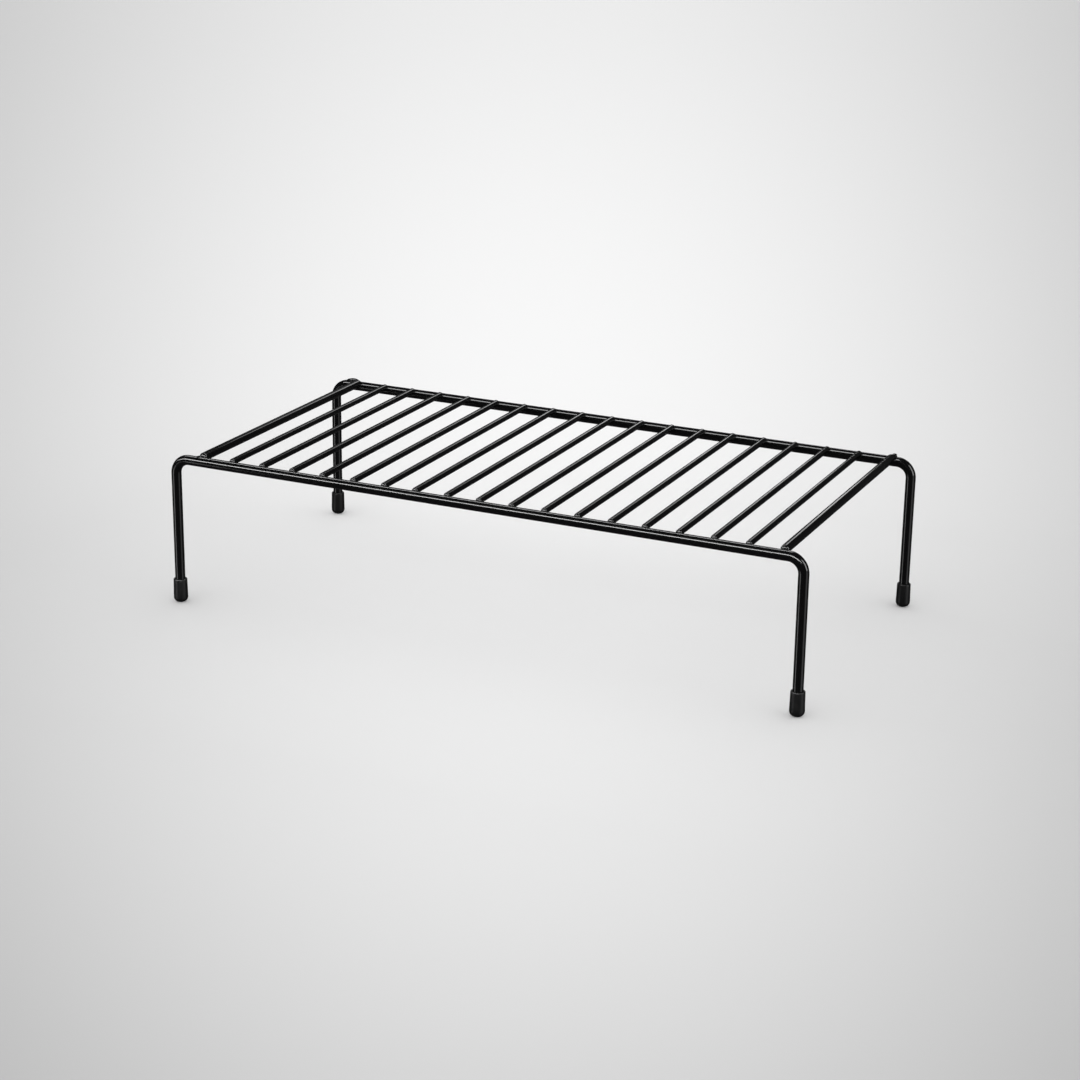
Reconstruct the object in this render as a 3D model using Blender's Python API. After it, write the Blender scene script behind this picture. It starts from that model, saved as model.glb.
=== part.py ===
"""Wire shelf rack for a cupboard or a counter.

Two bent frame wires, front and rear, each make two legs and the rail between them. A row of
cross wires lies across both rails and makes the shelf, and the outermost two are thicker. A
push-on cap closes the foot of each leg.

Metres, +Z up, front at -Y. The origin is on the floor, in the middle of the four feet.
"""

import math

import bmesh
import bpy
from mathutils import Matrix

# Frame wires. Spacings and height are measured between wire axes, the height from the floor.
LEG_SPACING_X = 0.392
LEG_SPACING_Y = 0.191
RAIL_HEIGHT = 0.090
FRAME_WIRE_RADIUS = 0.003
BEND_RADIUS = 0.009

# Cross wires. The setback is the distance from the start of a rail's bend to the nearest end
# wire's axis where the row is centred, the shift how far the row then sits to the right, and the
# shortfall the distance from a tip to the axis of the rail that carries it.
CROSS_WIRE_COUNT = 19
CROSS_WIRE_RADIUS = 0.0019
END_WIRE_RADIUS = 0.0026
ROW_SETBACK = 0.00575
ROW_SHIFT = 0.0028
TIP_SHORTFALL = 0.001
TIP_ROUND_SHARE = 0.6
TIP_PROFILE_SHARE = 0.5

# Seat of the cross wires. The weld lets a wire down into the rail by a share of its diameter,
# and the end wires' axes lie level with the others.
WELD_SETDOWN_SHARE = 0.66
WELD_GAP = 0.0003

# Foot caps. The bore takes the end of a leg.
CAP_HEIGHT = 0.0147
CAP_FLOOR = 0.003
CAP_TOP_RADIUS = 0.0041
CAP_FOOT_RADIUS = 0.00435
CAP_SHOULDER_HEIGHT = 0.0014
CAP_MOUTH_SHARE = 0.2
CAP_FOOT_ROUND = 0.0031
CAP_GAP = 0.0003

# Fineness of the round shapes
FRAME_BEVEL_RESOLUTION = 6
BEND_STEPS = 8
CROSS_WIRE_SIDES = 12
END_WIRE_SIDES = 16
TIP_STEPS = 3
CUTTER_SIDES = 32
CAP_SIDES = 24
ROUND_STEPS = 5
SMOOTH_ANGLE = math.radians(40.0)
MERGE_DISTANCE = 0.000001

# Finishes: base colour, roughness and metallic value
WIRE_FINISH = ((0.013, 0.013, 0.014, 1.0), 0.28, 0.0)
CAP_FINISH = ((0.021, 0.021, 0.022, 1.0), 0.6, 0.0)


def clear_scene():
    """Remove every object that the new file came with."""
    for item in list(bpy.data.objects):
        bpy.data.objects.remove(item, do_unlink=True)


def make_material(name, finish):
    """Return a Principled BSDF material with the given finish."""
    colour, roughness, metallic = finish
    material = bpy.data.materials.new(name)
    material.use_nodes = True
    shader = material.node_tree.nodes["Principled BSDF"]
    shader.inputs["Base Color"].default_value = colour
    shader.inputs["Roughness"].default_value = roughness
    shader.inputs["Metallic"].default_value = metallic
    material.diffuse_color = colour
    return material


def add_piece(name, data, location, finish, rack):
    """Place one piece of the rack, with a material of its own, under the rack's empty."""
    piece = bpy.data.objects.new(name, data)
    piece.location = location
    piece.parent = rack
    bpy.context.collection.objects.link(piece)
    if not data.materials:
        data.materials.append(None)
    slot = piece.material_slots[0]
    slot.link = "OBJECT"
    slot.material = make_material(name + "_finish", finish)
    return piece


def arc(centre, radii, start, end, steps):
    """Return points (x, z) on an arc between two angles, both ends included."""
    angles = [start + (end - start) * step / steps for step in range(steps + 1)]
    return [
        (centre[0] + radii[0] * math.cos(a), centre[1] + radii[1] * math.sin(a)) for a in angles
    ]


def frame_wire_path():
    """Return the axis of a frame wire: up one leg, along the rail and down the other leg."""
    leg_x = LEG_SPACING_X / 2
    centre = (leg_x - BEND_RADIUS, RAIL_HEIGHT - BEND_RADIUS)
    foot_z = CAP_FLOOR + CAP_GAP
    right_bend = arc(centre, (BEND_RADIUS, BEND_RADIUS), math.pi / 2, 0.0, BEND_STEPS)
    left_bend = [(-x, z) for x, z in reversed(right_bend)]
    return [(-leg_x, foot_z)] + left_bend + right_bend + [(leg_x, foot_z)]


def add_frame_wire(name, y, rack):
    """Make one bent wire that is two legs and the rail between them."""
    curve = bpy.data.curves.new(name, "CURVE")
    curve.dimensions = "3D"
    curve.bevel_depth = FRAME_WIRE_RADIUS
    curve.bevel_resolution = FRAME_BEVEL_RESOLUTION
    curve.use_fill_caps = True
    path = frame_wire_path()
    spline = curve.splines.new("POLY")
    spline.points.add(len(path) - 1)
    for point, (x, z) in zip(spline.points, path):
        point.co = (x, 0.0, z, 1.0)
    return add_piece(name, curve, (0.0, y, 0.0), WIRE_FINISH, rack)


def smooth(mesh):
    """Shade a mesh smooth, except at its sharp edges."""
    mesh.shade_smooth()
    mesh.set_sharp_from_angle(angle=SMOOTH_ANGLE)


def cross_wire_mesh(name, radius, length, sides):
    """Return a straight wire along Y with rounded tips, centred on its own origin."""
    turned = bmesh.new()
    bmesh.ops.create_cone(
        turned, cap_ends=True, segments=sides, radius1=radius, radius2=radius, depth=length
    )
    rims = [edge for edge in turned.edges if abs(edge.verts[0].co.z - edge.verts[1].co.z) < radius]
    bmesh.ops.bevel(
        turned,
        geom=rims,
        offset=radius * TIP_ROUND_SHARE,
        segments=TIP_STEPS,
        profile=TIP_PROFILE_SHARE,
        affect="EDGES",
    )
    bmesh.ops.rotate(turned, verts=turned.verts, matrix=Matrix.Rotation(math.pi / 2, 3, "X"))
    mesh = bpy.data.meshes.new(name)
    turned.to_mesh(mesh)
    turned.free()
    smooth(mesh)
    return mesh


def add_rail_cutter(rack):
    """Make the two bars, a weld gap wider than the rails, that notch the cross wires."""
    bars = bmesh.new()
    along_x = Matrix.Rotation(math.pi / 2, 4, "Y")
    radius = FRAME_WIRE_RADIUS + WELD_GAP
    for side in (-1, 1):
        place = Matrix.Translation((0.0, side * LEG_SPACING_Y / 2, RAIL_HEIGHT))
        bmesh.ops.create_cone(
            bars,
            cap_ends=True,
            segments=CUTTER_SIDES,
            radius1=radius,
            radius2=radius,
            depth=LEG_SPACING_X,
            matrix=place @ along_x,
        )
    mesh = bpy.data.meshes.new("rail_cutter")
    bars.to_mesh(mesh)
    bars.free()
    cutter = bpy.data.objects.new("rail_cutter", mesh)
    cutter.parent = rack
    cutter.hide_render = True
    cutter.display_type = "WIRE"
    bpy.context.collection.objects.link(cutter)
    return cutter


def cross_wire_places():
    """Return the X of every cross wire's axis, evenly spaced, from left to right."""
    end_x = LEG_SPACING_X / 2 - BEND_RADIUS - ROW_SETBACK
    pitch = 2 * end_x / (CROSS_WIRE_COUNT - 1)
    return [ROW_SHIFT - end_x + pitch * index for index in range(CROSS_WIRE_COUNT)]


def add_cross_wires(rack):
    """Lay the cross wires over both rails and notch their undersides over the rails."""
    length = LEG_SPACING_Y - 2 * TIP_SHORTFALL
    setdown = 2 * CROSS_WIRE_RADIUS * WELD_SETDOWN_SHARE
    z = RAIL_HEIGHT + FRAME_WIRE_RADIUS + CROSS_WIRE_RADIUS - setdown
    thin = cross_wire_mesh("cross_wire", CROSS_WIRE_RADIUS, length, CROSS_WIRE_SIDES)
    thick = cross_wire_mesh("end_wire", END_WIRE_RADIUS, length, END_WIRE_SIDES)
    cutter = add_rail_cutter(rack)
    for index, x in enumerate(cross_wire_places()):
        mesh = thick if index in (0, CROSS_WIRE_COUNT - 1) else thin
        name = f"cross_wire_{index + 1:02d}"
        wire = add_piece(name, mesh, (x, 0.0, z), WIRE_FINISH, rack)
        notch = wire.modifiers.new("weld_notch", "BOOLEAN")
        notch.operation = "DIFFERENCE"
        notch.object = cutter


def cap_profile():
    """Return the outline (radius, z) of a foot cap, from the foot's middle to the bore's floor."""
    bore = FRAME_WIRE_RADIUS + CAP_GAP
    bevel = (CAP_TOP_RADIUS - bore) * CAP_MOUTH_SHARE
    foot_centre = (CAP_FOOT_RADIUS - CAP_FOOT_ROUND, CAP_FOOT_ROUND)
    foot_radii = (CAP_FOOT_ROUND, CAP_FOOT_ROUND)
    foot = arc(foot_centre, foot_radii, -math.pi / 2, 0.0, ROUND_STEPS)
    shoulder_centre = (bore + bevel, CAP_HEIGHT - CAP_SHOULDER_HEIGHT)
    shoulder_radii = (CAP_TOP_RADIUS - bore - bevel, CAP_SHOULDER_HEIGHT)
    shoulder = arc(shoulder_centre, shoulder_radii, 0.0, math.pi / 2, ROUND_STEPS)
    mouth = [(bore, CAP_HEIGHT - bevel), (bore, CAP_FLOOR)]
    return [(0.0, 0.0)] + foot + shoulder + mouth + [(0.0, CAP_FLOOR)]


def cap_mesh():
    """Return a foot cap, turned about Z, with a blind bore that opens upwards."""
    turned = bmesh.new()
    verts = [turned.verts.new((x, 0.0, z)) for x, z in cap_profile()]
    edges = [turned.edges.new(pair) for pair in zip(verts, verts[1:])]
    bmesh.ops.spin(
        turned,
        geom=verts + edges,
        cent=(0.0, 0.0, 0.0),
        axis=(0.0, 0.0, 1.0),
        angle=2 * math.pi,
        steps=CAP_SIDES,
    )
    bmesh.ops.remove_doubles(turned, verts=turned.verts, dist=MERGE_DISTANCE)
    bmesh.ops.recalc_face_normals(turned, faces=turned.faces)
    mesh = bpy.data.meshes.new("foot_cap")
    turned.to_mesh(mesh)
    turned.free()
    smooth(mesh)
    return mesh


def add_foot_caps(rack):
    """Push a cap onto the foot of each leg."""
    mesh = cap_mesh()
    for end, side_y in (("front", -1), ("rear", 1)):
        for hand, side_x in (("left", -1), ("right", 1)):
            place = (side_x * LEG_SPACING_X / 2, side_y * LEG_SPACING_Y / 2, 0.0)
            add_piece(f"foot_cap_{end}_{hand}", mesh, place, CAP_FINISH, rack)


def main():
    """Build the rack."""
    clear_scene()
    rack = bpy.data.objects.new("shelf_rack", None)
    bpy.context.collection.objects.link(rack)
    add_frame_wire("front_frame_wire", -LEG_SPACING_Y / 2, rack)
    add_frame_wire("rear_frame_wire", LEG_SPACING_Y / 2, rack)
    add_cross_wires(rack)
    add_foot_caps(rack)


main()
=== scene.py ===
"""Looks of the wire shelf rack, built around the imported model.

Two bent frame wires carry a row of cross wires, welded across them, and stand on push-on
caps. Metres, +Z up, front at -Y, origin on the floor in the middle of the four feet.
"""

import logging
import math
from collections.abc import Callable
from dataclasses import dataclass, field
from enum import Enum
from typing import Protocol

import bmesh
import bpy
from mathutils import Matrix, Vector

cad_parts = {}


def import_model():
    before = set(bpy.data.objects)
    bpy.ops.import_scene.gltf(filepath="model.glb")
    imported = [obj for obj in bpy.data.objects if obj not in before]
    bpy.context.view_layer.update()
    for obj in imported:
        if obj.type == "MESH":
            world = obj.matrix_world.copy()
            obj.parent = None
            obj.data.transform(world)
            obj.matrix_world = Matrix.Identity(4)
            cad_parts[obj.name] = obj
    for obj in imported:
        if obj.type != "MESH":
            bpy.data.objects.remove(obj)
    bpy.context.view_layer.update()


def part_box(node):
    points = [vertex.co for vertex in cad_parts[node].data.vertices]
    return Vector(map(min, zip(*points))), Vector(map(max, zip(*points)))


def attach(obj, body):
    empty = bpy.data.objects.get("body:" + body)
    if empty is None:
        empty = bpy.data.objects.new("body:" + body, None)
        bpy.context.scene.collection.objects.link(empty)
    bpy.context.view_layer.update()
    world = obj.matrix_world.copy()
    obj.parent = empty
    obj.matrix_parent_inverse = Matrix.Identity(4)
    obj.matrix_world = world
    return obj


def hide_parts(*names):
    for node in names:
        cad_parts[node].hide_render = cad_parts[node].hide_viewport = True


LOG = logging.getLogger("shelf_rack")
MM = 0.001
BODY = "root"

# A face looks along an axis where its normal's share of that axis is over this.
FACING = 0.9
# The angle of shade smooth that keeps no edge sharp, in degrees.
ALL_SMOOTH = 180.0

Point = tuple[float, float, float]
Colour = tuple[float, float, float]
Pair = tuple[float, float]
Span = tuple[float, float]
RISE: Span = (0.0, 1.0)
FALL: Span = (1.0, 0.0)


class Slot(Enum):
    """The record's material slots."""

    WIRE = "coated_wire"
    CAP = "foot_cap"


class End(Enum):
    """The two ends of a cross wire, by the side of the rack."""

    FRONT = -1
    REAR = 1


class Layers(Enum):
    """How many finer layers a noise pattern has."""

    FEW = 1.0
    SOME = 2.0
    MANY = 3.0


class Role(Enum):
    """What a lamp is for."""

    FILL = "lights the rack and the floor evenly"
    SHINE = "draws a line in the gloss coat"


# Finishes


class NodeSheet:
    """A material's node tree, with short calls for the nodes that the finishes use."""

    def __init__(self, name: str) -> None:
        """Make a node material that reads Object coordinates.

        Args:
            name: the material's name.
        """
        self.material = bpy.data.materials.new(name)
        self.material.use_nodes = True
        self.tree = self.material.node_tree
        self.shader = self.tree.nodes["Principled BSDF"]
        self.place = self.tree.nodes.new("ShaderNodeTexCoord").outputs["Object"]

    def noise(self, size: float, layers: Layers) -> bpy.types.NodeSocket:
        """Return a noise pattern's value socket.

        Args:
            size: the pattern's wavelength in metres.
            layers: how many finer layers it has.

        Returns:
            The socket of the noise's value, from 0 to 1.
        """
        node = self.tree.nodes.new("ShaderNodeTexNoise")
        node.inputs["Scale"].default_value = 1.0 / size
        node.inputs["Detail"].default_value = layers.value
        self.tree.links.new(self.place, node.inputs["Vector"])
        return node.outputs["Fac"]

    def ramp(self, value: bpy.types.NodeSocket, span: Span, out: Span) -> bpy.types.NodeSocket:
        """Return a value mapped from one range to another.

        Args:
            value: the socket to map.
            span: the values that give the first and the second output.
            out: the two outputs.

        Returns:
            The socket of the mapped value.
        """
        node = self.tree.nodes.new("ShaderNodeMapRange")
        node.inputs["From Min"].default_value = span[0]
        node.inputs["From Max"].default_value = span[1]
        node.inputs["To Min"].default_value = out[0]
        node.inputs["To Max"].default_value = out[1]
        self.tree.links.new(value, node.inputs["Value"])
        return node.outputs["Result"]

    def math(
        self,
        operation: str,
        first: bpy.types.NodeSocket | float,
        second: bpy.types.NodeSocket | float,
    ) -> bpy.types.NodeSocket:
        """Return the result of a sum on sockets or numbers.

        Args:
            operation: Blender's name of the operation, such as ADD.
            first: a socket or a number.
            second: a socket or a number.

        Returns:
            The socket of the result.
        """
        node = self.tree.nodes.new("ShaderNodeMath")
        node.operation = operation
        for index, item in enumerate((first, second)):
            if isinstance(item, bpy.types.NodeSocket):
                self.tree.links.new(item, node.inputs[index])
            else:
                node.inputs[index].default_value = item
        return node.outputs["Value"]

    def axis(self, name: str) -> bpy.types.NodeSocket:
        """Return one object coordinate.

        Args:
            name: X, Y or Z.

        Returns:
            The socket of the coordinate, in metres.
        """
        node = self.tree.nodes.new("ShaderNodeSeparateXYZ")
        self.tree.links.new(self.place, node.inputs["Vector"])
        return node.outputs[name]

    def colours(self, value: bpy.types.NodeSocket, first: Colour, second: Colour) -> None:
        """Colour the base between two colours by a value from 0 to 1.

        Args:
            value: the socket that chooses between the colours.
            first: the colour at 0, as linear red, green and blue.
            second: the colour at 1.
        """
        node = self.tree.nodes.new("ShaderNodeMix")
        node.data_type = "RGBA"
        node.inputs["A"].default_value = (*first, 1.0)
        node.inputs["B"].default_value = (*second, 1.0)
        self.tree.links.new(value, node.inputs["Factor"])
        self.tree.links.new(node.outputs["Result"], self.shader.inputs["Base Color"])

    def rough(self, value: bpy.types.NodeSocket) -> None:
        """Take the roughness from a socket."""
        self.tree.links.new(value, self.shader.inputs["Roughness"])

    def bump(self, height: bpy.types.NodeSocket, distance: float) -> None:
        """Raise the surface by a height from 0 to 1.

        Args:
            height: the socket of the height.
            distance: what a height of 1 stands for, in metres.
        """
        node = self.tree.nodes.new("ShaderNodeBump")
        node.inputs["Distance"].default_value = distance
        self.tree.links.new(height, node.inputs["Height"])
        self.tree.links.new(node.outputs["Normal"], self.shader.inputs["Normal"])


class Finish(Protocol):
    """What every finish of a piece can do."""

    def build(self) -> bpy.types.Material:
        """Return the material."""


@dataclass(frozen=True)
class GlossCoat:
    """Gloss black powder coat on steel wire, with faint peel and a few greyer specks."""

    name: str
    colour: Colour = (0.0018, 0.0018, 0.002)
    # The greyer colour of the specks, also used for the painted glints on the tip rims.
    worn_and_glint: Colour = (0.02, 0.02, 0.021)
    roughness: Span = (0.12, 0.17)
    cloud_size: float = 14.0 * MM
    cloud_span: Span = (0.3, 0.7)
    peel_size: float = 1.8 * MM
    peel_height: float = 0.006 * MM
    speck_size: float = 0.7 * MM
    speck_span: Span = (0.62, 0.75)
    speck_depth: Span = (0.0, 0.35)

    def drift(self, sheet: NodeSheet) -> bpy.types.NodeSocket:
        """Return the coat's roughness, which drifts slowly over the surface."""
        return sheet.ramp(
            sheet.noise(self.cloud_size, Layers.MANY), self.cloud_span, self.roughness
        )

    def peel(self, sheet: NodeSheet) -> None:
        """Raise the faint orange peel of the coat."""
        sheet.bump(sheet.noise(self.peel_size, Layers.FEW), self.peel_height)

    def build(self) -> bpy.types.Material:
        """Make the coat.

        Returns:
            The material.
        """
        sheet = NodeSheet(self.name)
        sheet.rough(self.drift(sheet))
        speck = sheet.noise(self.speck_size, Layers.SOME)
        sheet.colours(
            sheet.ramp(speck, self.speck_span, self.speck_depth), self.colour, self.worn_and_glint
        )
        self.peel(sheet)
        return sheet.material


@dataclass(frozen=True)
class TipCoat:
    """The coat of a cross wire, greyer and rougher in patches on the cut rims of its two tips,
    where a thinner coat is mixed with painted glints of light.
    """

    base: GlossCoat
    front_y: float
    rear_y: float
    rim: float = 0.9 * MM
    patch_size: float = 1.1 * MM
    patch_span: Span = (0.4, 0.6)
    patch_depth: Span = (0.15, 1.0)
    rougher: float = 0.2

    def build(self) -> bpy.types.Material:
        """Make the coat.

        Returns:
            The material.
        """
        sheet = NodeSheet(self.base.name)
        along = sheet.axis("Y")
        front = sheet.ramp(along, (self.front_y, self.front_y + self.rim), FALL)
        rear = sheet.ramp(along, (self.rear_y - self.rim, self.rear_y), RISE)
        patch = sheet.noise(self.patch_size, Layers.SOME)
        # Painted glints on the tip rims, mixed with a thinner, rougher coat there: greyer patches
        # in the colour.
        thin_coat_and_glint = sheet.math(
            "MULTIPLY",
            sheet.math("MAXIMUM", front, rear),
            sheet.ramp(patch, self.patch_span, self.patch_depth),
        )
        sheet.colours(thin_coat_and_glint, self.base.colour, self.base.worn_and_glint)
        rougher = sheet.math("MULTIPLY", thin_coat_and_glint, self.rougher)
        sheet.rough(sheet.math("ADD", self.base.drift(sheet), rougher))
        self.base.peel(sheet)
        return sheet.material


@dataclass(frozen=True)
class CapRubber:
    """Matte black moulded rubber with a fine grain and a faint scuff at the foot."""

    name: str
    colour: Colour = (0.0025, 0.0025, 0.0027)
    scuffed: Colour = (0.006, 0.006, 0.0063)
    roughness: Span = (0.36, 0.46)
    shine: float = 0.36
    cloud_size: float = 2.6 * MM
    cloud_span: Span = (0.3, 0.7)
    scuff_top: float = 2.5 * MM
    scuff_span: Span = (0.35, 0.65)
    grain: float = 0.22 * MM
    grain_height: float = 0.012 * MM

    def build(self) -> bpy.types.Material:
        """Make the rubber.

        Returns:
            The material.
        """
        sheet = NodeSheet(self.name)
        cloud = sheet.noise(self.cloud_size, Layers.MANY)
        sheet.rough(sheet.ramp(cloud, self.cloud_span, self.roughness))
        foot = sheet.ramp(sheet.axis("Z"), (0.0, self.scuff_top), FALL)
        scuff = sheet.math("MULTIPLY", foot, sheet.ramp(cloud, self.scuff_span, RISE))
        sheet.colours(scuff, self.colour, self.scuffed)
        sheet.bump(sheet.noise(self.grain, Layers.FEW), self.grain_height)
        sheet.shader.inputs["Specular IOR Level"].default_value = self.shine
        return sheet.material


@dataclass(frozen=True)
class FloorPaper:
    """Pale matte paper with a painted pool of light: its colour is lightest round the rack and
    falls off softly to all sides.

    The falloff is laid out from a point on the floor, with Y away from it and X to the side.
    It depends on X over Y and on 1 over Y, and never goes below its least share.
    """

    name: str
    place: Pair
    turn: float
    stretch: float
    light: float = 0.953
    base: float = 0.325
    aside: float = 11.3
    along: float = 2.19
    middle: float = 0.528
    least: float = 0.33
    roughness: float = 1.0
    shine: float = 0.0

    def build(self) -> bpy.types.Material:
        """Make the paper.

        Returns:
            The material.
        """
        sheet = NodeSheet(self.name)
        mapping = sheet.tree.nodes.new("ShaderNodeMapping")
        mapping.vector_type = "TEXTURE"
        mapping.inputs["Location"].default_value = (*self.place, 0.0)
        mapping.inputs["Rotation"].default_value = (0.0, 0.0, self.turn)
        mapping.inputs["Scale"].default_value = (1.0, self.stretch, 1.0)
        sheet.tree.links.new(sheet.place, mapping.inputs["Vector"])
        sheet.place = mapping.outputs["Vector"]
        near = sheet.math("DIVIDE", 1.0, sheet.axis("Y"))
        aside = sheet.math("POWER", sheet.math("MULTIPLY", sheet.axis("X"), near), 2.0)
        along = sheet.math("POWER", sheet.math("SUBTRACT", near, self.middle), 2.0)
        reach = sheet.math(
            "ADD",
            sheet.math("MULTIPLY", aside, -self.aside),
            sheet.math("MULTIPLY", along, -self.along),
        )
        # Painted pool of light: the paper's colour is lightest round the rack and darker further
        # off.
        painted_light_pool = sheet.math("MAXIMUM", sheet.math("EXPONENT", reach, 0.0), self.least)
        sheet.colours(painted_light_pool, (self.light * self.base,) * 3, (self.light,) * 3)
        sheet.shader.inputs["Roughness"].default_value = self.roughness
        sheet.shader.inputs["Specular IOR Level"].default_value = self.shine
        return sheet.material


# Modelling by hand


class Bench:
    """The calls that every piece is modelled with."""

    @staticmethod
    def clear() -> None:
        """Leave edit mode and select nothing."""
        if bpy.context.object and bpy.context.object.mode != "OBJECT":
            bpy.ops.object.mode_set(mode="OBJECT")
        bpy.ops.object.select_all(action="DESELECT")

    @staticmethod
    def take(piece: bpy.types.Object) -> None:
        """Select one piece alone and make it active.

        Args:
            piece: the piece.
        """
        Bench.clear()
        piece.select_set(True)
        bpy.context.view_layer.objects.active = piece

    @staticmethod
    def set_place() -> None:
        """Set the active piece's place, turn and scale into its mesh."""
        bpy.ops.object.transform_apply(location=True, rotation=True, scale=True)

    @staticmethod
    def edit(name: str) -> bpy.types.Object:
        """Name the active piece and open it in edit mode.

        Args:
            name: the piece's name.

        Returns:
            The piece.
        """
        piece = bpy.context.object
        piece.name = piece.data.name = name
        bpy.ops.object.mode_set(mode="EDIT")
        return piece

    @staticmethod
    def pick(piece: bpy.types.Object, kind: str, test: Callable[..., bool]) -> None:
        """Select only the faces or edges that pass a test, in edit mode.

        Args:
            piece: the piece that is open in edit mode.
            kind: FACE or EDGE.
            test: a function of the face or edge that says whether it is selected.
        """
        bpy.ops.mesh.select_mode(type=kind)
        bpy.ops.mesh.select_all(action="DESELECT")
        mesh = bmesh.from_edit_mesh(piece.data)
        for item in mesh.faces if kind == "FACE" else mesh.edges:
            if test(item):
                item.select_set(True)
        mesh.select_flush_mode()
        bmesh.update_edit_mesh(piece.data)

    @staticmethod
    def extrude(shift: Point) -> None:
        """Extrude what is selected, by a shift in metres."""
        bpy.ops.mesh.extrude_region_move(TRANSFORM_OT_translate={"value": shift})

    @staticmethod
    def round_edges(offset: float, steps: int) -> None:
        """Round the selected edges, or the edges of the selected faces, off in steps."""
        bpy.ops.mesh.bevel(offset=offset, segments=steps, affect="EDGES", profile=0.5)

    @staticmethod
    def finish(piece: bpy.types.Object, angle: float = 35.0) -> None:
        """Close edit mode, set the place into the mesh and shade smooth.

        Args:
            piece: the piece, in either mode.
            angle: edges sharper than this stay sharp, in degrees.
        """
        Bench.take(piece)
        Bench.set_place()
        bpy.ops.object.shade_smooth_by_angle(angle=math.radians(angle))
        Bench.clear()

    @staticmethod
    def copy(piece: bpy.types.Object, name: str, shift: Vector) -> bpy.types.Object:
        """Copy a piece with a mesh of its own.

        Args:
            piece: the piece to copy.
            name: the name of the copy.
            shift: how far it moves, which goes into its mesh.

        Returns:
            The copy.
        """
        twin = piece.copy()
        twin.data = piece.data.copy()
        twin.name = twin.data.name = name
        bpy.context.collection.objects.link(twin)
        twin.data.transform(Matrix.Translation(shift))
        return twin

    @staticmethod
    def apply(piece: bpy.types.Object, modifier: bpy.types.Modifier) -> None:
        """Apply one modifier to a piece."""
        Bench.take(piece)
        bpy.ops.object.modifier_apply(modifier=modifier.name)


def dress(piece: bpy.types.Object, finish: Finish, slot: Slot, *nodes: str) -> None:
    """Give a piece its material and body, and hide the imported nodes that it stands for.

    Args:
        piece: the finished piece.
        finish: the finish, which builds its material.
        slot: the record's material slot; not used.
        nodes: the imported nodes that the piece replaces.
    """
    piece.data.materials.clear()
    piece.data.materials.append(finish.build())
    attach(piece, BODY)
    if nodes:
        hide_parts(*nodes)


# Sub-assemblies


@dataclass
class FrameWires:
    """The front and rear frame wires, each two legs and the rail between them."""

    radius: float = 3.0 * MM
    bend: float = 9.0 * MM
    sides: int = 40
    bend_steps: int = 20
    merge: float = 0.001 * MM

    def wire(self, side: str) -> bpy.types.Object:
        """Draw one frame wire up one leg, along the rail and down the other leg.

        Args:
            side: front or rear.

        Returns:
            The finished piece.
        """
        node = f"{side}_frame_wire"
        low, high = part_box(node)
        y = (low.y + high.y) / 2
        leg_x = high.x - self.radius
        centre_z = high.z - self.radius - self.bend
        leg = centre_z - low.z
        span = 2 * (leg_x - self.bend)
        turn = {"steps": self.bend_steps, "angle": -math.pi / 2, "axis": (0.0, 1.0, 0.0)}
        Bench.clear()
        bpy.ops.mesh.primitive_circle_add(
            vertices=self.sides, radius=self.radius, location=(-leg_x, y, low.z)
        )
        piece = Bench.edit(f"{side}_wire")
        bpy.ops.mesh.select_all(action="SELECT")
        Bench.extrude((0.0, 0.0, leg))
        bpy.ops.mesh.spin(center=(-span / 2, y, centre_z), **turn)
        Bench.extrude((span, 0.0, 0.0))
        bpy.ops.mesh.spin(center=(span / 2, y, centre_z), **turn)
        Bench.extrude((0.0, 0.0, -leg))
        bpy.ops.mesh.select_all(action="SELECT")
        bpy.ops.mesh.remove_doubles(threshold=self.merge)
        bpy.ops.mesh.fill_holes(sides=0)
        bpy.ops.mesh.select_all(action="SELECT")
        bpy.ops.mesh.normals_make_consistent(inside=False)
        Bench.finish(piece)
        dress(piece, GlossCoat(f"{side}_wire_coat"), Slot.WIRE, node)
        return piece

    def build(self) -> list[bpy.types.Object]:
        """Build both frame wires and return them."""
        return [self.wire(side) for side in ("front", "rear")]


@dataclass
class CrossWires:
    """The row of cross wires with rounded tips, the two end wires thicker."""

    count: int = 19
    thin_radius: float = 1.9 * MM
    thick_radius: float = 2.6 * MM
    tip_round: float = 0.75
    tip_steps: int = 6
    sides: int = 32

    def radius(self, number: int) -> float:
        """Return the radius of one wire, by its place in the row."""
        return self.thick_radius if number in (1, self.count) else self.thin_radius

    def wire(self, number: int) -> bpy.types.Object:
        """Make one cross wire.

        Args:
            number: its place in the row, from 1 at the left.

        Returns:
            The finished piece.
        """
        node = f"cross_wire_{number:02d}"
        low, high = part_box(node)
        radius = self.radius(number)
        Bench.clear()
        bpy.ops.mesh.primitive_cylinder_add(
            vertices=self.sides,
            radius=radius,
            depth=high.y - low.y,
            location=(low + high) / 2,
            rotation=(math.pi / 2, 0.0, 0.0),
        )
        piece = Bench.edit(f"shelf_wire_{number:02d}")
        Bench.pick(piece, "FACE", lambda face: abs(face.normal.z) > FACING)
        Bench.round_edges(radius * self.tip_round, self.tip_steps)
        Bench.finish(piece)
        coat = TipCoat(GlossCoat(f"shelf_coat_{number:02d}"), low.y, high.y)
        dress(piece, coat, Slot.WIRE, node)
        return piece

    def build(self) -> list[bpy.types.Object]:
        """Build all the wires and return them."""
        return [self.wire(number) for number in range(1, self.count + 1)]


@dataclass(frozen=True)
class Lump:
    """A lump of weld metal, in millimetres: its centre from the rail's axis and its radii."""

    centre: Point
    radii: Point


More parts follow.
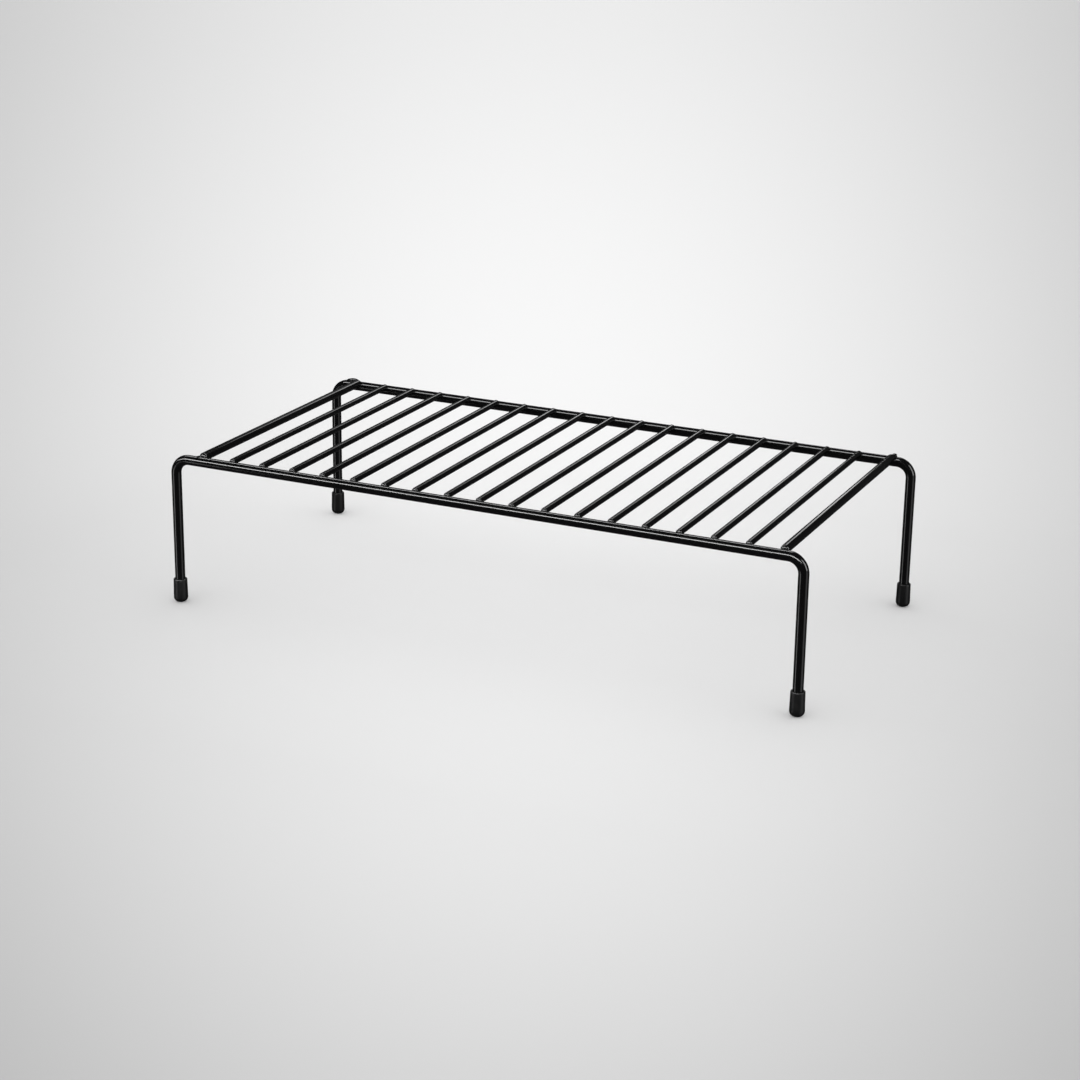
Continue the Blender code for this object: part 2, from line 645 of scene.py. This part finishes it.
@dataclass
class Welds:
    """The weld fillets along both rails, one under each end of each cross wire."""

    wires: CrossWires
    thin_number: int = 2
    rail_radius: float = 3.0 * MM
    seat: float = 0.1 * MM
    reach: float = 2.2 * MM
    tip_share: float = 0.5
    voxel: float = 0.28 * MM
    smoothing: int = 14
    smooth_share: float = 0.5
    swell: float = 0.5
    lump_fineness: int = 3
    lump_tilt: float = -6.0
    lumps: dict[tuple[End, int], Lump] = field(
        default_factory=lambda: {
            (End.REAR, 1): Lump((-5.6, 0.6, 3.0), (4.6, 1.7, 1.5)),
            (End.REAR, 19): Lump((0.9, 1.0, 3.6), (1.7, 1.3, 1.1)),
            (End.FRONT, 1): Lump((-1.6, 0.2, 3.0), (1.5, 1.0, 0.7)),
        }
    )

    def bar(self, radius: float, ends: Span, along: str, height: float) -> bpy.types.Object:
        """Make a round bar along one axis.

        Args:
            radius: the bar's radius.
            ends: where it starts and ends along the axis.
            along: the axis, X or Y.
            height: the height of its own axis.

        Returns:
            The bar, with its place in its mesh.
        """
        middle = (ends[0] + ends[1]) / 2
        place = (middle, 0.0, height) if along == "X" else (0.0, middle, height)
        turn = (0.0, math.pi / 2, 0.0) if along == "X" else (math.pi / 2, 0.0, 0.0)
        Bench.clear()
        bpy.ops.mesh.primitive_cylinder_add(
            vertices=self.wires.sides,
            radius=radius,
            depth=abs(ends[1] - ends[0]),
            location=place,
            rotation=turn,
        )
        Bench.set_place()
        return bpy.context.object

    def blob(self, lump: Lump) -> bpy.types.Object:
        """Make one lump of weld metal.

        Args:
            lump: its place and size.

        Returns:
            The lump, with its place in its mesh.
        """
        Bench.clear()
        bpy.ops.mesh.primitive_ico_sphere_add(
            subdivisions=self.lump_fineness,
            radius=MM,
            location=Vector(lump.centre) * MM,
            scale=lump.radii,
            rotation=(0.0, math.radians(self.lump_tilt), 0.0),
        )
        Bench.set_place()
        return bpy.context.object

    def bead(self, end: End, number: int, name: str) -> bpy.types.Object:
        """Make one weld fillet, melted out of the corner between wire and rail.

        Args:
            end: front or rear.
            number: the cross wire's place in the row.
            name: the name of the new piece.

        Returns:
            The fillet, centred where the wire crosses the rail's axis.
        """
        low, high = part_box(f"cross_wire_{number:02d}")
        rail_low, rail_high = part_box(f"{end.name.lower()}_frame_wire")
        rail_y = (rail_low.y + rail_high.y) / 2
        radius = self.wires.radius(number)
        wire_z = (low.z + high.z) / 2 - (rail_high.z - self.rail_radius)
        side = radius + self.reach
        inner = -end.value * (self.rail_radius + self.reach)
        tip = (low.y if end is End.FRONT else high.y) - rail_y
        outer = tip - end.value * self.tip_share * radius
        bead = self.bar(self.rail_radius - self.seat, (-side, side), "X", 0.0)
        parts = [self.bar(radius - self.seat, (inner, outer), "Y", wire_z)]
        if (end, number) in self.lumps:
            parts.append(self.blob(self.lumps[(end, number)]))
        for part in parts:
            union = bead.modifiers.new("weld", "BOOLEAN")
            union.operation = "UNION"
            union.object = part
            Bench.apply(bead, union)
            bpy.data.objects.remove(part, do_unlink=True)
        melt = bead.modifiers.new("melt", "REMESH")
        melt.mode = "VOXEL"
        melt.voxel_size = self.voxel
        Bench.apply(bead, melt)
        Bench.edit(name)
        bpy.ops.mesh.select_all(action="SELECT")
        bpy.ops.mesh.vertices_smooth(factor=self.smooth_share, repeat=self.smoothing)
        bpy.ops.transform.shrink_fatten(value=self.swell * self.seat)
        Bench.finish(bead, ALL_SMOOTH)
        return bead

    def row(self, end: End) -> bpy.types.Object:
        """Make the row of weld fillets along one rail, as one piece.

        Args:
            end: front or rear.

        Returns:
            The finished piece.
        """
        side = end.name.lower()
        low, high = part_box(f"{side}_frame_wire")
        plain = self.bead(end, self.thin_number, f"{side}_plain_bead")
        beads = []
        for number in range(1, self.wires.count + 1):
            wire_low, wire_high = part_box(f"cross_wire_{number:02d}")
            own = number in (1, self.wires.count)
            made = self.bead(end, number, f"{side}_end_bead") if own else plain
            place = ((wire_low.x + wire_high.x) / 2, (low.y + high.y) / 2)
            shift = Vector((*place, high.z - self.rail_radius))
            beads.append(Bench.copy(made, f"{side}_bead_{number:02d}", shift))
            if own:
                bpy.data.objects.remove(made, do_unlink=True)
        bpy.data.objects.remove(plain, do_unlink=True)
        Bench.take(beads[0])
        for bead in beads:
            bead.select_set(True)
        bpy.ops.object.join()
        piece = bpy.context.object
        piece.name = piece.data.name = f"{side}_welds"
        Bench.finish(piece, ALL_SMOOTH)
        dress(piece, GlossCoat(f"{side}_weld_coat"), Slot.WIRE)
        return piece

    def build(self) -> list[bpy.types.Object]:
        """Build both rows of welds and return them."""
        return [self.row(end) for end in End]


@dataclass
class FootCaps:
    """The four push-on caps, tapered, with a rounded foot, a soft shoulder and a blind bore."""

    height: float = 14.7 * MM
    floor: float = 3.0 * MM
    top_radius: float = 4.1 * MM
    foot_radius: float = 4.35 * MM
    bore: float = 3.12 * MM
    foot_round: float = 3.1 * MM
    foot_steps: int = 12
    shoulder: float = 0.75 * MM
    shoulder_steps: int = 7
    mouth: float = 0.18 * MM
    mouth_steps: int = 3
    sides: int = 56
    sharp: float = 50.0
    near: float = 0.05 * MM

    def ring(self, radius: float, z: float) -> Callable[[bmesh.types.BMEdge], bool]:
        """Return a test for the edges of one level ring.

        Args:
            radius: the ring's radius.
            z: the ring's height in the cap's own mesh.

        Returns:
            A function that says whether both ends of an edge lie on the ring.
        """

        def test(edge: bmesh.types.BMEdge) -> bool:
            """Say whether both ends of an edge lie on the ring."""
            return all(
                abs(vert.co.z - z) < self.near and abs(vert.co.xy.length - radius) < self.near
                for vert in edge.verts
            )

        return test

    def template(self) -> bpy.types.Object:
        """Make one cap.

        Returns:
            The cap, standing at the origin.
        """
        Bench.clear()
        bpy.ops.mesh.primitive_cylinder_add(
            vertices=self.sides,
            radius=self.foot_radius,
            depth=self.height,
            location=(0.0, 0.0, self.height / 2),
        )
        cap = Bench.edit("cap_template")
        Bench.pick(cap, "FACE", lambda face: face.normal.z > FACING)
        taper = self.top_radius / self.foot_radius
        bpy.ops.transform.resize(value=(taper, taper, 1.0))
        bpy.ops.mesh.inset(thickness=self.top_radius - self.bore, depth=0.0)
        Bench.extrude((0.0, 0.0, self.floor - self.height))
        half = self.height / 2
        for radius, z, offset, steps in (
            (self.foot_radius, -half, self.foot_round, self.foot_steps),
            (self.top_radius, half, self.shoulder, self.shoulder_steps),
            (self.bore, half, self.mouth, self.mouth_steps),
        ):
            Bench.pick(cap, "EDGE", self.ring(radius, z))
            Bench.round_edges(offset, steps)
        Bench.finish(cap, self.sharp)
        return cap

    def cap(self, template: bpy.types.Object, corner: str) -> bpy.types.Object:
        """Put a copy of the template on one leg.

        Args:
            template: the cap at the origin.
            corner: the leg's corner, such as front_left.

        Returns:
            The finished piece.
        """
        node = f"foot_cap_{corner}"
        low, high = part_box(node)
        place = Vector(((low.x + high.x) / 2, (low.y + high.y) / 2, low.z))
        piece = Bench.copy(template, f"cap_{corner}", place)
        dress(piece, CapRubber(f"cap_{corner}_rubber"), Slot.CAP, node)
        return piece

    def build(self) -> list[bpy.types.Object]:
        """Build the four caps.

        Returns:
            The finished pieces.
        """
        template = self.template()
        corners = ("front_left", "front_right", "rear_left", "rear_right")
        caps = [self.cap(template, corner) for corner in corners]
        bpy.data.objects.remove(template, do_unlink=True)
        return caps


# Studio


@dataclass(frozen=True)
class SoftBox:
    """A rectangular lamp that faces its aim, its width level unless it is turned in its plane."""

    name: str
    role: Role
    place: Point
    size: Pair
    radiance: float
    aim: Point = (0.0, 0.0, 0.09)
    turn: float = 0.0

    def build(self) -> None:
        """Hang the lamp, kept out of the picture itself."""
        width, height = self.size
        Bench.clear()
        bpy.ops.object.light_add(type="AREA", location=self.place)
        lamp = bpy.context.object
        lamp.name = lamp.data.name = self.name
        lamp.data.shape = "RECTANGLE"
        lamp.data.size = width
        lamp.data.size_y = height
        lamp.data.energy = math.pi * width * height * self.radiance
        lamp.visible_camera = False
        lamp.visible_glossy = self.role is Role.SHINE
        lamp.visible_diffuse = self.role is Role.FILL
        back = (Vector(self.place) - Vector(self.aim)).normalized()
        level = Vector((0.0, 0.0, 1.0)).cross(back).normalized()
        facing = Matrix((level, back.cross(level), back)).transposed()
        turned = facing @ Matrix.Rotation(math.radians(self.turn), 3, "Z")
        lamp.rotation_euler = turned.to_euler()


@dataclass
class Studio:
    """Pale floor, soft lamps, a dim surround and the camera."""

    floor_size: float = 80.0
    surround: float = 0.04
    camera_place: Point = (0.5856, -1.2656, 0.5169)
    yaw: float = 24.921
    pitch: float = 18.864
    roll: float = 0.762
    focal_px: float = 2459.6
    frame_px: float = 1080.0
    sensor: float = 36.0
    clip: Span = (0.01, 200.0)
    tent_size: Pair = (16.0, 5.0)
    tent_radiance: float = 1.8
    tent: tuple[tuple[str, Point, Point], ...] = (
        ("tent_front", (-0.5, -7.0, 2.5), (-0.5, 0.0, 2.5)),
        ("tent_rear", (-0.5, 9.0, 2.5), (-0.5, 0.0, 2.5)),
        ("tent_left", (-8.5, 1.0, 2.5), (0.0, 1.0, 2.5)),
        ("tent_right", (7.5, 1.0, 2.5), (0.0, 1.0, 2.5)),
    )
    overhead: SoftBox = SoftBox(
        "overhead_fill",
        Role.FILL,
        place=(-0.5, 1.0, 2.2),
        size=(14.0, 14.0),
        radiance=0.56,
        aim=(-0.5, 1.01, 0.0),
    )
    shine: tuple[SoftBox, ...] = (
        # In the plane of the rear rail, so that only the front rail takes its line.
        SoftBox(
            "front_strip",
            Role.SHINE,
            place=(-0.40, -0.7655, 0.4915),
            size=(1.90, 0.90),
            radiance=20.0,
            aim=(-0.40, -1.188, -0.4145),
        ),
        # The line along the rear rail.
        SoftBox(
            "over_strip",
            Role.SHINE,
            place=(-0.10, 0.011, 0.272),
            size=(0.56, 0.05),
            radiance=11.0,
            aim=(-0.10, 0.0955, 0.093),
        ),
        # Both sides of the legs.
        SoftBox(
            "left_panel",
            Role.SHINE,
            place=(-0.95, -0.935, -0.40),
            size=(0.26, 0.44),
            radiance=3.9,
            aim=(0.0, 0.0, -0.40),
        ),
        SoftBox(
            "right_panel",
            Role.SHINE,
            place=(1.45, -0.10, -0.42),
            size=(0.80, 0.75),
            radiance=0.75,
        ),
        # The bends at the right.
        SoftBox(
            "right_box",
            Role.SHINE,
            place=(1.40, 0.0, 0.65),
            size=(0.50, 1.20),
            radiance=6.0,
            aim=(0.0, 0.0, 0.40),
        ),
        # The lines along the cross wires, and the softer light above them.
        SoftBox(
            "rear_box",
            Role.SHINE,
            place=(-0.095, 1.30, 0.845),
            size=(0.24, 0.90),
            radiance=2.8,
            aim=(-0.095, 0.0, 0.845),
            turn=22.6,
        ),
        SoftBox(
            "rear_panel",
            Role.SHINE,
            place=(-0.62, 1.30, 0.83),
            size=(0.50, 0.60),
            radiance=0.26,
            aim=(-0.62, 0.0, 0.83),
            turn=29.0,
        ),
    )

    def add_floor(self) -> None:
        """Lay the pale floor, screened from the gloss coat as black cards would do it."""
        Bench.clear()
        bpy.ops.mesh.primitive_plane_add(size=self.floor_size)
        floor = bpy.context.object
        floor.name = floor.data.name = "floor"
        pitch, turn = math.radians(self.pitch), math.radians(self.yaw)
        x, y, height = self.camera_place
        back = height * math.tan(pitch)
        place = (x + back * math.sin(turn), y - back * math.cos(turn))
        paper = FloorPaper("floor_paper", place, turn, 1.0 / math.cos(pitch))
        floor.data.materials.append(paper.build())
        floor.visible_glossy = False

    def add_world(self) -> None:
        """Set the dim, even surround."""
        world = bpy.data.worlds.new("surround")
        bpy.context.scene.world = world
        world.use_nodes = True
        surround = world.node_tree.nodes["Background"]
        surround.inputs["Color"].default_value = (1.0, 1.0, 1.0, 1.0)
        surround.inputs["Strength"].default_value = self.surround

    def add_lamps(self) -> None:
        """Hang the fill lamps, then the lamps that only the gloss coat sees."""
        self.overhead.build()
        for name, place, aim in self.tent:
            SoftBox(name, Role.FILL, place, self.tent_size, self.tent_radiance, aim).build()
        for lamp in self.shine:
            lamp.build()

    def add_camera(self) -> None:
        """Put the camera at the photograph's viewing angle."""
        Bench.clear()
        bpy.ops.object.camera_add(location=self.camera_place)
        camera = bpy.context.object
        camera.name = camera.data.name = "camera"
        camera.data.sensor_width = self.sensor
        camera.data.lens = self.focal_px / self.frame_px * self.sensor
        camera.data.clip_start, camera.data.clip_end = self.clip
        turn = (
            Matrix.Rotation(math.radians(self.yaw), 3, "Z")
            @ Matrix.Rotation(math.pi / 2 - math.radians(self.pitch), 3, "X")
            @ Matrix.Rotation(math.radians(self.roll), 3, "Z")
        )
        camera.rotation_euler = turn.to_euler()
        bpy.context.scene.camera = camera

    def build(self) -> None:
        """Set up the whole studio."""
        self.add_floor()
        self.add_world()
        self.add_lamps()
        self.add_camera()
        bpy.context.scene.view_settings.view_transform = "Standard"


def main() -> None:
    """Build the rack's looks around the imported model, and report each piece."""
    logging.basicConfig(level=logging.INFO, format="%(message)s")
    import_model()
    wires = CrossWires()
    for part in (FrameWires(), wires, Welds(wires), FootCaps()):
        for piece in part.build():
            LOG.info("%s: %d faces", piece.name, len(piece.data.polygons))
    Studio().build()
    bpy.context.view_layer.update()


if __name__ == "__main__":
    main()
